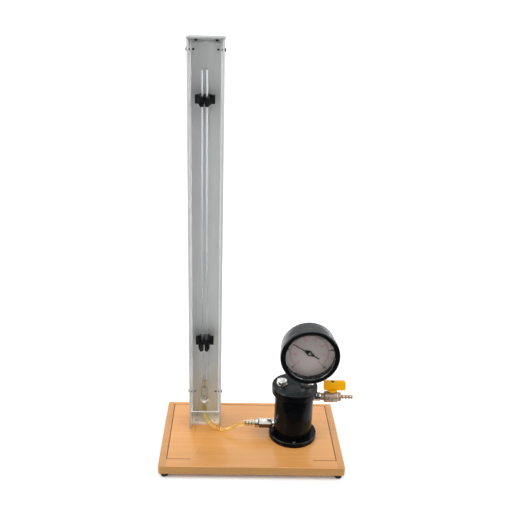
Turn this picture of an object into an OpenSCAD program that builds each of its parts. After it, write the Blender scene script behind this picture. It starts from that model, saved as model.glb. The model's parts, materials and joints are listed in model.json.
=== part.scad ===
// Boyle's law apparatus: a closed glass tube in a tall metal column with a clear
// front cover, joined by a hose to an oil reservoir that carries a dial pressure
// gauge, a filler plug and a ball valve with a barb for an air pump.
// Millimetres. +Z is up, the front looks to -Y, the column is on the left (-X).
// Inside the modules, x runs from the middle of the board, y from its front edge
// to the back, and z from the board's top face. on_board() moves all of it into
// the final frame, whose origin is under the middle of the whole model, on the
// plane that the rubber feet stand on.

/* [Base board] */
// Width of the wooden board
board_w = 350; // [340:1:360]
// Depth of the wooden board, front to back
board_d = 214; // [210:1:220]
// Thickness of the wooden board
board_t = 18; // [16:1:22]
// Height of the rubber feet
foot_h = 10; // [8:1:14]

/* [Column] */
// Height of the column without its cap
col_h = 752; // [740:1:780]
// Outer width of the column
col_w = 62.6; // [62.6:0.2:64]
// Outer depth of the column
col_d = 55; // [55:1:60]
// Wall thickness of the column
col_t = 3; // [2.5:0.5:3]
// Thickness of the clear cover
cover_t = 3; // [2:0.5:3]
// Height of the open gap under the clear cover
cover_gap = 40; // [38:1:42]

/* [Glass tube] */
// Outside diameter of the glass tube
tube_od = 14; // [13.8:0.1:14]
// Bore of the glass tube
tube_id = 8; // [6:0.5:9]
// Height of the closed end above the board
tube_top = 705; // [690:1:712]

/* [Reservoir] */
// Outside diameter of the reservoir body
res_od = 75; // [74:0.5:76]
// Diameter of the reservoir's base flange
flange_od = 94; // [92:1:96]
// Diameter of the reservoir's cap
cap_od = 89; // [88:0.5:90]

/* [Gauge] */
// Outside diameter of the gauge bezel
bezel_od = 113; // [113:0.5:116]
// Height of the gauge's middle above the board
gauge_z = 190.6; // [190:0.2:192]
// Angle of the pointer at rest, anticlockwise from the right
pointer_a = 149; // [140:1:158]

/* [Valve] */
// Height of the valve's axis above the board
valve_z = 88.5; // [88:0.5:88.5]
// Length of the valve's handle on its long side
handle_l = 25.8; // [22:0.2:27]

/* [Hidden] */
$fn = 72;

// final frame: the pump barb's tip and the board's left edge are equally far from x = 0
barb_tip = 198.2;
shift = [-(barb_tip - board_w / 2) / 2, -board_d / 2, board_t + foot_h];

// column
cx = -92.7;              // middle of the column
cy = 117.6;              // its front plane
cil = cx - col_w / 2 + col_t;   // inner face of the left wall
cir = cx + col_w / 2 - col_t;   // inner face of the right wall
cyb = cy + col_d - col_t;       // inner face of the back wall
tx = -95; ty = 145;      // glass tube
clip_z = [183, 650.3];   // heights of the two clips
cover_screw_z = [83.5, 735];
cover_screw_y = cy + 9;
return_d = 17;           // depth of the clear cover's two returns
plate_y = 131;           // front edge of the foot plate

// reservoir, fittings
rx = 83; ry = 105;
res_id = res_od - 10;
body_z = [10, 98];       // body between the flange and the gasket
cap_z = [99, 115];
hose_z = 25;             // axis of the hose fitting
port_r = 6.6;
plug_x = 57.5; plug_y = 104;

// gauge
gx = 106; gy = 73.5;     // middle of the dial, front plane of the bezel
case_back = 118.5;       // back plane of the case
gauge_y = 103;           // axis of the gauge's stem
pinion_r = 2.4; sector_r = 19.6;
pivot_z = gauge_z - pinion_r - sector_r;

// valve
vx = 156;                // axis of the stem and the ball

// hose: hand-chosen control points of its line, from the glass nozzle to the collar
hose_r = 5;
hose_pts = [[-95, 145, 70], [-95, 145, 62], [-95, 145, 54], [-95.5, 144.6, 45.6], [-95.7, 141.8, 35.6],
  [-94.5, 136, 25.5], [-90, 129, 16.5], [-83, 122, 10], [-74.5, 116, 6.5], [-65.5, 111.5, 5.5], [-57, 108.5, 6],
  [-48, 106, 8.5], [-39.5, 105, 13], [-32, 104, 19], [-23, 104.5, 23], [-14, 105, 25],
  [-7, 105, 25], [0, 105, 25], [7, 105, 25], [14, 105, 25]];
hose_steps = 3;          // rings for each control point
hose_sides = 12;

module on_board() translate(shift) children();

// ---------- helpers ----------
// a 2D shape in x and z, standing from y0 back to y0 + t
module front(y0, t) translate([0, y0 + t, 0]) rotate([90, 0, 0]) linear_extrude(t) children();
// a round bar along x
module bar_x(x0, l, r) translate([x0, 0, 0]) rotate([0, 90, 0]) cylinder(h = l, r = r);
// a hexagonal bar along x, across-flats af, turned by a
module hex_x(x0, l, af, a = 0) translate([x0, 0, 0]) rotate([0, 90, 0]) rotate(a) cylinder(h = l, d = af / cos(30), $fn = 6);
// a turned shape along x from a profile of [x, r] points
module turned_x(pts) rotate([90, 0, 90]) rotate_extrude() polygon([for (p = pts) [p[1], p[0]]]);
module rounded_square(w, h, r) {
  translate([-w / 2 + r, -h / 2]) square([w - 2 * r, h]);
  translate([-w / 2, -h / 2 + r]) square([w, h - 2 * r]);
  for (i = [-1, 1], j = [-1, 1]) translate([i * (w / 2 - r), j * (h / 2 - r)]) circle(r);
}
// pan head screw pointing along -z from the underside of its head at z = 0
module pan_screw(r, l, head_r, head_h) {
  translate([0, 0, -l]) cylinder(h = l + 0.01, r = r, $fn = 32);
  rotate_extrude($fn = 40) polygon([[0, 0], [head_r, 0], [head_r, head_h * 0.45],
    [head_r * 0.86, head_h * 0.8], [head_r * 0.6, head_h], [0, head_h]]);
}
module cross_slot(w, l) for (a = [0, 90]) rotate(a) translate([-l / 2, -w / 2, 0]) cube([l, w, 5]);

// ---------- base ----------
foot_xy = [for (i = [-1, 1], j = [-1, 1]) [i * (board_w / 2 - 10.6), board_d / 2 + j * (board_d / 2 - 11.5)]];
col_screw_xy = [for (i = [-1, 1], j = [-1, 1]) [cx + i * 18, 148 + j * 10]];
flange_screw_xy = [for (a = [-90, 30, 150]) [rx + 42.4 * cos(a), ry + 42.4 * sin(a)]];

module base_board() on_board() color([0.89, 0.67, 0.46]) difference() {
  translate([0, board_d / 2, -board_t]) linear_extrude(board_t) rounded_square(board_w, board_d, 4);
  // decorative groove, left open along the middle of the front
  translate([-161.4, 21.5, -1.2]) cube([1.5, board_d - 29.6, 2]);
  translate([159.9, 21.5, -1.2]) cube([1.5, board_d - 29.6, 2]);
  translate([-161.4, board_d - 9.6, -1.2]) cube([322.8, 1.5, 2]);
  translate([-161.4, 21.5, -1.2]) cube([47, 1.5, 2]);
  translate([116.4, 21.5, -1.2]) cube([45, 1.5, 2]);
  for (p = foot_xy) translate([p[0], p[1], -board_t - 1]) cylinder(h = 13.5, r = 2.1, $fn = 32);
  for (p = col_screw_xy) translate([p[0], p[1], -board_t - 1]) {
    cylinder(h = board_t + 2, r = 2.7, $fn = 32);
    cylinder(h = 6, r = 5.5, $fn = 40);
  }
  for (p = flange_screw_xy) translate([p[0], p[1], -13]) cylinder(h = 14, r = 1.85, $fn = 32);
}

module rubber_feet() on_board() color([0.05, 0.05, 0.05])
  for (p = foot_xy) translate([p[0], p[1], -board_t - foot_h]) rotate_extrude()
    polygon([[4.2, 0], [6.2, 0], [7, 1.2], [7, foot_h], [2.3, foot_h], [2.3, 4.5], [4.2, 4.5]]);

module foot_screws() on_board() color([0.7, 0.7, 0.72])
  for (p = foot_xy) translate([p[0], p[1], -board_t - foot_h + 4.5]) mirror([0, 0, 1]) difference() {
    pan_screw(2, foot_h - 4.5 + 11, 3.8, 2.6);
    translate([0, 0, 1.4]) cross_slot(0.9, 4);
  }

// ---------- column ----------
module column_channel() on_board() color([0.66, 0.67, 0.66]) difference() {
  translate([cx - col_w / 2, cy, 0]) cube([col_w, col_d, col_h]);
  translate([cil, cy - 1, -1]) cube([cir - cil, col_d - col_t + 1, col_h + 2]);
  // cover screws through the side walls
  for (z = cover_screw_z, s = [-1, 1]) translate([cx, cover_screw_y, z]) mirror([s > 0 ? 0 : 1, 0, 0]) bar_x(20, 20, 1.6);
  // clip screws, cap screws and plate screws through the back wall
  for (z = clip_z, s = [-1, 1]) translate([tx + s * 7, cyb - 1, z]) rotate([-90, 0, 0]) cylinder(h = 10, r = 1.6, $fn = 32);
  for (s = [-1, 1]) translate([cx - 0.5 + s * 18.2, cyb - 1, 747]) rotate([-90, 0, 0]) cylinder(h = 10, r = 1.6, $fn = 32);
  for (s = [-1, 1]) translate([cx + s * 18, cyb - 1, 3]) rotate([-90, 0, 0]) cylinder(h = 10, r = 1.6, $fn = 32);
}

module column_foot_plate() on_board() color([0.66, 0.67, 0.66]) difference() {
  translate([cil, plate_y, 0]) cube([cir - cil, cyb - plate_y, 6]);
  for (p = col_screw_xy) translate([p[0], p[1], -1]) cylinder(h = 8, r = 2.55, $fn = 32);
  for (s = [-1, 1]) translate([cx + s * 18, cyb - 6.5, 3]) rotate([-90, 0, 0]) cylinder(h = 8, r = 1.55, $fn = 32);
}

module column_screws() on_board() color([0.7, 0.7, 0.72])
  for (p = col_screw_xy) translate([p[0], p[1], -board_t + 5]) mirror([0, 0, 1]) difference() {
    pan_screw(2.5, 18.5, 4.6, 3.6);
    translate([0, 0, 2]) cross_slot(1.1, 5.2);
  }

module plate_screws() on_board() color([0.12, 0.12, 0.12])
  for (s = [-1, 1]) translate([cx + s * 18, cyb + col_t, 3]) rotate([-90, 0, 0]) difference() {
    pan_screw(1.5, 9, 2.8, 2);
    translate([0, 0, 1.1]) cross_slot(0.7, 3.2);
  }

module top_cap() on_board() color([0.72, 0.73, 0.72]) difference() {
  union() {
    translate([cx - col_w / 2 - 1, cy - 1, col_h]) cube([col_w + 2, col_d + 2, 2.5]);
    translate([cil + 0.3, cyb - 2, col_h - 10]) cube([cir - cil - 0.6, 2, 10]);
  }
  for (s = [-1, 1]) translate([cx - 0.5 + s * 18.2, cyb - 4, 747]) rotate([-90, 0, 0]) cylinder(h = 10, r = 1.6, $fn = 32);
}

// heads inside the column, in front of the cap's flange
module cap_screws() on_board() color([0.12, 0.12, 0.12])
  for (s = [-1, 1]) translate([cx - 0.5 + s * 18.2, cyb - 2, 747]) rotate([90, 0, 0]) difference() {
    pan_screw(1.5, 8.5, 2.8, 2);
    translate([0, 0, 1.1]) cross_slot(0.7, 3.2);
  }

module cap_nuts() on_board() color([0.7, 0.7, 0.72])
  for (s = [-1, 1]) translate([cx - 0.5 + s * 18.2, cyb + col_t, 747]) rotate([-90, 0, 0]) difference() {
    cylinder(h = 2.4, d = 6.35, $fn = 6);
    translate([0, 0, -1]) cylinder(h = 5, r = 1.55, $fn = 32);
  }

module front_cover() on_board() color([0.85, 0.9, 0.92, 0.35]) difference() {
  translate([cil + 0.1, cy, cover_gap]) cube([cir - cil - 0.2, return_d, col_h - cover_gap]);
  translate([cil + 0.1 + cover_t, cy + cover_t, cover_gap - 1]) cube([cir - cil - 0.2 - 2 * cover_t, return_d, col_h]);
  for (z = cover_screw_z, s = [-1, 1]) translate([cx, cover_screw_y, z]) mirror([s > 0 ? 0 : 1, 0, 0]) bar_x(20, 20, 1.6);
}

module cover_screws() on_board() color([0.12, 0.12, 0.12])
  for (z = cover_screw_z, s = [-1, 1]) translate([cx + s * col_w / 2, cover_screw_y, z]) rotate([0, s * 90, 0]) difference() {
    pan_screw(1.5, 12.6, 3, 2.2);
    translate([0, 0, 1.3]) cross_slot(0.7, 3.4);
  }

module cover_nuts() on_board() color([0.45, 0.45, 0.47])
  for (z = cover_screw_z, s = [-1, 1])
    translate([cx + s * (col_w / 2 - col_t - 0.1 - cover_t - 2.4), cover_screw_y, z]) rotate([0, s * 90, 0]) difference() {
      rotate(30) cylinder(h = 2.4, d = 6.35, $fn = 6);
      translate([0, 0, -1]) cylinder(h = 5, r = 1.55, $fn = 32);
    }

// spring clip: a back block with side wings, a ring round the tube, and two lips that
// pinch together in front of the tube and then flare out towards the cover
clip_lip = [[6.2, -8.2], [3.6, -12.6], [3, -15.8], [4.6, -18.2], [7.6, -20.6], [11, -22.4],
  [10.6, -23.9], [6.2, -22.4], [2.8, -20], [1, -17.2], [1, -9]];
module clip(z) translate([tx, ty, z]) color([0.06, 0.06, 0.06]) difference() {
  union() {
    translate([0, 0, -8.5]) linear_extrude(15.8) circle(10.4);
    // the lips' lower corners are cut away at an angle
    intersection() {
      translate([0, 0, -8.5]) linear_extrude(15.8) {
        polygon(clip_lip);
        mirror([1, 0]) polygon(clip_lip);
      }
      front(-26, 20) polygon([[-12, 7.4], [12, 7.4], [12, 3], [10.2, -1.5], [7, -8.6], [-7, -8.6], [-10.2, -1.5], [-12, 3]]);
    }
    translate([0, 0, -7.3]) linear_extrude(14.6) {
      translate([-17.5, 9]) square([35, 7]);
      translate([-10, 15.5]) square([20, cyb - ty - 15.5]);
      translate([-6, 6]) square([12, 6]);
    }
    for (s = [-1, 1]) translate([s * 14 - 3.5, 4.5, -7.3]) cube([7, 5, 14.6]);
  }
  translate([0, 0, -10]) cylinder(h = 20, r = 7.1);
  translate([-1, -13, -10]) cube([2, 10, 20]);
  // screw holes in the block
  for (s = [-1, 1]) translate([s * 7, cyb - ty - 9, 0]) rotate([-90, 0, 0]) cylinder(h = 12, r = 1.55, $fn = 32);
}
module upper_clip() on_board() clip(clip_z[1]);
module lower_clip() on_board() clip(clip_z[0]);

module clip_screws() on_board() color([0.12, 0.12, 0.12])
  for (z = clip_z, s = [-1, 1]) translate([tx + s * 7, cyb + col_t, z]) rotate([-90, 0, 0]) difference() {
    pan_screw(1.5, 11, 2.8, 2);
    translate([0, 0, 1.1]) cross_slot(0.7, 3.2);
  }

// ---------- glass tube, sleeve, tie, hose ----------
module glass_tube() on_board() color([0.86, 0.9, 0.9, 0.4]) translate([tx, ty, 0]) rotate_extrude() difference() {
  union() {
    translate([0, 84]) square([tube_od / 2, tube_top - 84 - tube_od / 2]);
    intersection() {
      translate([0, tube_top - tube_od / 2]) circle(tube_od / 2);
      translate([0, tube_top - tube_od / 2 - 0.01]) square([20, 20]);
    }
    translate([0, 62]) square([5, 22.5]);
  }
  translate([-1, 90]) square([1 + tube_id / 2, tube_top - 90 - tube_od / 2]);
  intersection() {
    translate([0, tube_top - tube_od / 2]) circle(tube_id / 2);
    translate([-1, tube_top - tube_od / 2 - 0.01]) square([20, 20]);
  }
  translate([-1, 61]) square([4, 30]);
}

module tube_sleeve() on_board() color([0.85, 0.85, 0.7, 0.5]) translate([tx, ty, 44]) difference() {
  cylinder(h = 39.7, r = 6.75);
  translate([0, 0, -1]) cylinder(h = 42, r = 5.1);
  translate([0, 0, -1]) cylinder(h = 14, r = 6);
}

module hose_tie() on_board() color([0.92, 0.92, 0.9]) translate([tx, ty, 51.5]) difference() {
  union() {
    cylinder(h = 4.2, r = 8);
    translate([-3, -11.5, 0]) cube([6, 5, 4.2]);
    translate([-1.4, -11, -0.01]) cube([1.2, 1.2, 9]);
  }
  translate([0, 0, -1]) cylinder(h = 12, r = 6.8);
}

// hose: cubic B-spline through the control points, swept with frames that never twist
function bs(t) = [pow(1 - t, 3) / 6, (3 * pow(t, 3) - 6 * t * t + 4) / 6, (-3 * pow(t, 3) + 3 * t * t + 3 * t + 1) / 6, pow(t, 3) / 6];
function bd(t) = [-pow(1 - t, 2) / 2, (9 * t * t - 12 * t) / 6, (-9 * t * t + 6 * t + 3) / 6, t * t / 2];
function mix4(w, i) = w[0] * hose_pts[i] + w[1] * hose_pts[i + 1] + w[2] * hose_pts[i + 2] + w[3] * hose_pts[i + 3];
function unit(v) = v / norm(v);
hose_n = (len(hose_pts) - 3) * hose_steps;
hose_line = [for (k = [0:hose_n]) let (i = min(floor(k / hose_steps), len(hose_pts) - 4), t = k / hose_steps - i) mix4(bs(t), i)];
hose_dir = [for (k = [0:hose_n]) let (i = min(floor(k / hose_steps), len(hose_pts) - 4), t = k / hose_steps - i) unit(mix4(bd(t), i))];
// a fixed reference that is never along the hose: the left-back horizontal
hose_side = [for (d = hose_dir) unit(cross(d, [0.45, 0.89, 0]))];
hose_up = [for (k = [0:hose_n]) cross(hose_dir[k], hose_side[k])];
// the last stretch is stretched over the barb
function hose_rad(p) = p[0] > -14 ? hose_r + 1.4 * min(1, (p[0] + 14) / 8) : hose_r;
module hose() on_board() color([0.93, 0.85, 0.6, 0.6]) polyhedron(
  points = [for (k = [0:hose_n], j = [0:hose_sides - 1]) let (a = 360 * j / hose_sides, r = hose_rad(hose_line[k]))
    hose_line[k] + r * (cos(a) * hose_side[k] + sin(a) * hose_up[k])],
  faces = concat([[for (j = [0:hose_sides - 1]) j]],
    [for (k = [0:hose_n - 1], j = [0:hose_sides - 1]) let (a = k * hose_sides + j, b = k * hose_sides + (j + 1) % hose_sides)
      [a, a + hose_sides, b + hose_sides, b]],
    [[for (j = [hose_sides - 1:-1:0]) hose_n * hose_sides + j]]));

// barbed spigot with its collar
module hose_barb() on_board() color([0.78, 0.78, 0.76]) translate([0, ry, hose_z]) difference() {
  union() {
    turned_x([[-13, 0], [-13, 3.4], [-10, 4.4], [-8.5, 4.4], [-8.5, 3.7], [-6, 3.7], [-4, 4.6], [-2.5, 4.6], [-2.5, 3.7],
      [0, 3.7], [2, 4.6], [3.5, 4.6], [3.5, 3.7], [7, 3.7], [7, 8.6], [7.8, 9.3], [13.6, 9.3], [14.4, 8.6], [14.4, 5.2], [24, 5.2], [24, 0]]);
  }
  bar_x(-14, 50, 2.2);
}

module hose_fitting_hex() on_board() color([0.78, 0.78, 0.76]) translate([0, ry, hose_z]) difference() {
  union() {
    hex_x(15.4, 24, 17, 10);
    bar_x(39.3, 9, 6.4);
  }
  bar_x(10, 15, 5.3);
  bar_x(10, 50, 2.6);
}

module hose_fitting_washer() on_board() color([0.85, 0.85, 0.83]) translate([0, ry, hose_z]) difference() {
  bar_x(42.4, 3.6, 9.6);
  bar_x(40, 8, 6.5);
}

// ---------- reservoir ----------
module reservoir_flange() on_board() color([0.05, 0.05, 0.05]) translate([rx, ry, 0]) difference() {
  union() {
    rotate_extrude($fn = 120) polygon([[0, 0], [flange_od / 2, 0], [flange_od / 2, 8.4], [flange_od / 2 - 0.5, 9.5], [flange_od / 2 - 1.6, 10], [0, 10]]);
    translate([0, 0, 9.9]) cylinder(h = 4.1, r = res_id / 2 - 0.2);
  }
  for (p = flange_screw_xy) translate([p[0] - rx, p[1] - ry, -1]) cylinder(h = 20, r = 1.95, $fn = 32);
}

module flange_screws() on_board() color([0.5, 0.5, 0.5])
  for (p = flange_screw_xy) translate([p[0], p[1], 10]) difference() {
    pan_screw(1.75, 22, 2.9, 1.8);
    translate([0, 0, 0.9]) cross_slot(0.8, 3.6);
  }

module reservoir_body() on_board() color([0.05, 0.05, 0.05]) translate([rx, ry, 0]) difference() {
  translate([0, 0, body_z[0]]) cylinder(h = body_z[1] - body_z[0], r = res_od / 2, $fn = 120);
  translate([0, 0, body_z[0] - 1]) cylinder(h = body_z[1] - body_z[0] + 2, r = res_id / 2, $fn = 120);
  // flat spot and port for the hose fitting on the left, port for the valve on the right
  translate([0, 0, hose_z]) bar_x(-60, 40, port_r);
  translate([0, 0, hose_z]) bar_x(-60, 60 - 37, 10);
  translate([0, 0, valve_z]) bar_x(20, 40, port_r);
  translate([0, 0, valve_z]) bar_x(37, 20, 9.3);
}

module cap_gasket() on_board() color([0.1, 0.1, 0.1]) translate([rx, ry, body_z[1]]) difference() {
  cylinder(h = cap_z[0] - body_z[1], r = res_od / 2 - 0.5, $fn = 120);
  translate([0, 0, -1]) cylinder(h = 4, r = res_id / 2 + 0.3, $fn = 120);
}

module reservoir_cap() on_board() color([0.05, 0.05, 0.05]) difference() {
  translate([rx, ry, 0]) union() {
    rotate_extrude($fn = 120) polygon([[0, cap_z[0]], [cap_od / 2 - 1, cap_z[0]], [cap_od / 2, cap_z[0] + 1], [cap_od / 2, cap_z[1] - 2.2],
      [cap_od / 2 - 0.7, cap_z[1] - 0.7], [cap_od / 2 - 2.2, cap_z[1]], [0, cap_z[1]]]);
    translate([0, 0, cap_z[0] - 3]) cylinder(h = 3.1, r = res_id / 2 - 0.2, $fn = 120);
  }
  translate([plug_x, plug_y, 80]) cylinder(h = 50, r = 6.6);
  translate([gx, gauge_y, 80]) cylinder(h = 50, r = 6.6);
  translate([rx, ry, 80]) cylinder(h = cap_z[1] - 80 - 10, r = res_id / 2 - 6, $fn = 96);
}

// ---------- filler plug ----------
module filler_plug() on_board() color([0.8, 0.8, 0.8]) translate([plug_x, plug_y, cap_z[1]]) difference() {
  union() {
    translate([0, 0, -12]) cylinder(h = 14, r = 6.5);
    translate([0, 0, 1.2]) cylinder(h = 1.4, r = 10.2);
    intersection() {
      translate([0, 0, 1.3]) rotate(20) cylinder(h = 8.2, d = 18.6 / cos(30), $fn = 6);
      rotate_extrude() polygon([[0, 1], [10.6, 1], [10.6, 8.6], [9.3, 9.5], [0, 9.5]]);
    }
  }
  translate([0, 0, -13]) cylinder(h = 9, r = 3);
}

module filler_seal() on_board() color([0.6, 0.4, 0.25]) translate([plug_x, plug_y, cap_z[1]]) difference() {
  cylinder(h = 1.2, r = 9.6);
  translate([0, 0, -1]) cylinder(h = 4, r = 6.58);
}

// ---------- gauge ----------
gb = gauge_z - bezel_od / 2;     // lowest point of the bezel

module gauge_socket() on_board() color([0.8, 0.8, 0.78]) difference() {
  union() {
    translate([gx, gauge_y, cap_z[1] - 12]) cylinder(h = 14, r = 6.5);
    intersection() {
      translate([gx, gauge_y, cap_z[1] + 1.5]) rotate(30) cylinder(h = 16, d = 24 / cos(30), $fn = 6);
      translate([gx, gauge_y, 0]) rotate_extrude() polygon([[0, cap_z[1] + 1], [13, cap_z[1] + 1], [13.9, cap_z[1] + 2.2],
        [13.9, cap_z[1] + 15.6], [11.6, cap_z[1] + 17.5], [0, cap_z[1] + 17.5]]);
    }
    translate([gx, gauge_y, cap_z[1] + 17]) cylinder(h = gauge_z - 46.4 - cap_z[1] - 17, r = 6.8);
    translate([gx - 8, 98, gauge_z - 47]) cube([16, 8, 13]);
  }
  translate([gx, gauge_y, cap_z[1] - 13]) cylinder(h = 46, r = 2);
}

module gauge_seal() on_board() color([0.85, 0.8, 0.7]) translate([gx, gauge_y, cap_z[1]]) difference() {
  cylinder(h = 1.5, r = 11);
  translate([0, 0, -1]) cylinder(h = 4, r = 6.6);
}

module gauge_case() on_board() color([0.08, 0.08, 0.08]) difference() {
  translate([gx, case_back, gauge_z]) rotate([90, 0, 0]) rotate_extrude($fn = 120)
    polygon([[0, 0], [51.6, 0], [52.6, 0.4], [53, 1.4], [53, 41], [50.2, 41], [50.2, 38.6], [48.3, 38.6], [48.3, 23.5],
      [46.5, 23.5], [46.5, 21.5], [50.8, 19.5], [50.8, 2], [0, 2]]);
  translate([gx, gauge_y, gauge_z - 60]) cylinder(h = 20, r = 7);
}

module gauge_bezel() on_board() color([0.03, 0.03, 0.03]) translate([gx, gy, gauge_z]) rotate([-90, 0, 0]) rotate_extrude($fn = 144)
  let (br = bezel_od / 2) polygon([[br - 10, 3.4], [br - 10, 2.2], [br - 8.9, 0.9], [br - 7.3, 0.2], [br - 5.5, 0], [br - 2.3, 0.2], [br - 0.6, 1.2],
    [br, 3], [br, 13.6], [br - 0.7, 14.6], [br - 3.2, 15], [br - 3.2, 3.4]]);

module gauge_lens() on_board() color([0.9, 0.95, 0.95, 0.2]) translate([gx, 0, gauge_z]) front(gy + 3.6, 2.6) circle(49.8, $fn = 120);

module gauge_dial() on_board() color([0.82, 0.83, 0.82]) translate([gx, 0, gauge_z]) front(94.2, 0.8) difference() {
  circle(48, $fn = 120);
  circle(2.6);
}

module gauge_pointer() on_board() color([0.05, 0.05, 0.05]) translate([gx, 0, gauge_z]) rotate([0, -pointer_a, 0]) difference() {
  union() {
    front(91, 0.8) polygon([[37, 0.35], [37.4, 0], [37, -0.35], [8.2, -0.9], [5.6, -2], [-5.6, -2], [-8.2, -0.9],
      [-21.6, -1.1], [-21.6, 1.1], [-8.2, 0.9], [-5.6, 2], [5.6, 2], [8.2, 0.9]]);
    front(91, 0.8) circle(5.2);
    for (s = [-1, 1]) front(91, 0.8) translate([s * 6.8, 0]) circle(2.9);
  }
  front(90, 4) circle(1.03);
}

module pointer_arbor() on_board() color([0.75, 0.72, 0.6]) translate([gx, 0, gauge_z]) {
  front(89.6, 18.2) circle(1);
  front(89.4, 1.6) circle(3.3);
  front(99.6, 2.4) difference() {
    circle(pinion_r - 0.3);
    for (a = [0:30:330]) rotate(a) translate([pinion_r + 0.1, 0]) circle(0.45, $fn = 16);
  }
}

plate_h = 34;
module movement_plates() on_board() color([0.8, 0.68, 0.35]) difference() {
  union() {
    for (y = [96.6, 106.2]) translate([gx, 0, gauge_z]) front(y, 1.3) translate([-9, -44]) square([18, 50]);
    for (s = [-1, 1]) translate([gx + s * 7, 0, gauge_z + 3.5]) front(97.8, 8.5) circle(1.2);
  }
  translate([gx, 0, gauge_z]) front(90, 20) circle(1.06);
  translate([gx, 0, pivot_z]) front(90, 20) circle(1.06);
}

// toothed sector with its own shaft; the tail carries the link's pin
tail_r = 9;
module sector_gear() on_board() color([0.8, 0.68, 0.35]) translate([gx, 0, pivot_z]) {
  front(95.6, 12.4) circle(1);
  front(100, 1.5) {
    difference() {
      intersection() {
        circle(sector_r - 0.3, $fn = 120);
        polygon([[0, -2], [14.5, 24], [-8, 24]]);
      }
      for (a = [62:3.5:104]) rotate(a) translate([sector_r, 0]) circle(0.45, $fn = 16);
      translate([2, 11.8]) circle(3);
    }
    circle(3);
    polygon([[0, 2.4], [tail_r, 1.6], [tail_r + 1.5, 0], [tail_r, -1.6], [0, -2.4]]);
  }
  translate([tail_r, 0, 0]) front(101.4, 2.4) circle(0.75);
}

// link between the sector's tail and the Bourdon tube's tip; its upper end is slotted
tip_a = 7;                                  // angle of the tube's tip, from the right
tip_r = 24;                                 // radius of the pin on the tube's tip
tip = [tip_r * cos(tip_a), tip_r * sin(tip_a) + gauge_z - pivot_z];   // from the sector's pivot
link_v = tip - [tail_r, 0];
link_l = norm(link_v);
module movement_link() on_board() color([0.8, 0.68, 0.35]) translate([gx + tail_r, 0, pivot_z])
  rotate([0, -atan2(link_v[1], link_v[0]), 0]) front(102.2, 0.9) difference() {
    union() {
      circle(2);
      translate([0, -1.2]) square([link_l - 3, 2.4]);
      translate([link_l, 0]) rounded_square(11, 5, 2.4);
    }
    circle(0.82);
    translate([link_l, 0]) rounded_square(8.4, 2.6, 1.29);
  }

// flattened tube bent into a C: soldered into the socket at the bottom, free at the right
module bourdon_tube() on_board() color([0.78, 0.6, 0.35]) translate([gx, 98.6, gauge_z]) rotate([-90, 0, 0]) rotate([0, 0, 96])
  rotate_extrude(angle = 257, $fn = 120) difference() {
    translate([34.5, 0]) square([4.4, 7]);
    translate([35.1, 0.6]) square([3.2, 5.8]);
  }

module bourdon_tip() on_board() color([0.78, 0.6, 0.35]) translate([gx, 0, gauge_z]) {
  rotate([0, -tip_a, 0]) translate([22.6, 105.6, -2.2]) cube([16.2, 2, 4.4]);
  rotate([0, -tip_a, 0]) translate([tip_r, 0, 0]) front(101.8, 4) circle(0.6);
}

// ---------- valve ----------
module valve_nipple() on_board() color([0.75, 0.74, 0.7]) translate([0, ry, valve_z]) difference() {
  union() {
    bar_x(115.6, 7, 6.5);
    intersection() {
      hex_x(120, 14.5, 17, 0);
      turned_x([[120, 0], [120, 8.6], [121.2, 9.9], [133.2, 9.9], [134.5, 8.6], [134.5, 0]]);
    }
    bar_x(133, 9.5, 6.4);
  }
  bar_x(110, 40, 3.5);
}

module valve_body() on_board() color([0.72, 0.64, 0.45]) difference() {
  translate([0, ry, valve_z]) union() {
    turned_x([[134.5, 0], [134.5, 7.4], [140.4, 7.4], [141.4, 9.8], [142.8, 11.1], [166.2, 11.1], [168, 10.2], [169, 9.2], [169, 0]]);
    translate([vx, 0, 0]) cylinder(h = 11.3, r = 5);
  }
  translate([0, ry, valve_z]) {
    bar_x(133, 9.6, 6.5);
    bar_x(140, 30, 4);
    bar_x(147.2, 30, 8.4);
  }
  translate([vx, ry, valve_z]) cylinder(h = 20, r = 2.55);
  translate([vx, ry, valve_z + 9.4]) cylinder(h = 20, r = 3.7);
}

module valve_seats() on_board() color([0.93, 0.93, 0.9]) translate([0, ry, valve_z]) difference() {
  union() {
    bar_x(147.3, 4.7, 8.3);
    bar_x(160, 2.9, 8.3);
  }
  bar_x(140, 30, 3.7);
  translate([vx, 0, 0]) sphere(r = 7.28, $fn = 96);
}

module valve_ball() on_board() color([0.85, 0.85, 0.85]) translate([vx, ry, valve_z]) difference() {
  sphere(r = 7.2, $fn = 96);
  bar_x(-10, 20, 3.5);
  translate([-6, -0.9, 5.4]) cube([12, 1.8, 5]);
}

module valve_stem() on_board() color([0.8, 0.78, 0.7]) translate([vx, ry, valve_z]) difference() {
  union() {
    translate([-2.2, -0.75, 5.7]) cube([4.4, 1.5, 2.5]);
    translate([0, 0, 7.4]) cylinder(h = 14.5, r = 2.5);
    translate([0, 0, 21.5]) translate([-1.7, -1.7, 0]) cube([3.4, 3.4, 8]);
  }
  translate([0, 0, 24]) cylinder(h = 10, r = 1.05, $fn = 32);
}

module packing_nut() on_board() color([0.72, 0.64, 0.45]) translate([vx, ry, valve_z + 9.5]) difference() {
  union() {
    cylinder(h = 4, r = 3.6);
    translate([0, 0, 1.85]) cylinder(h = 2.8, d = 8 / cos(30), $fn = 6);
  }
  translate([0, 0, -1]) cylinder(h = 10, r = 2.56);
}

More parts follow.
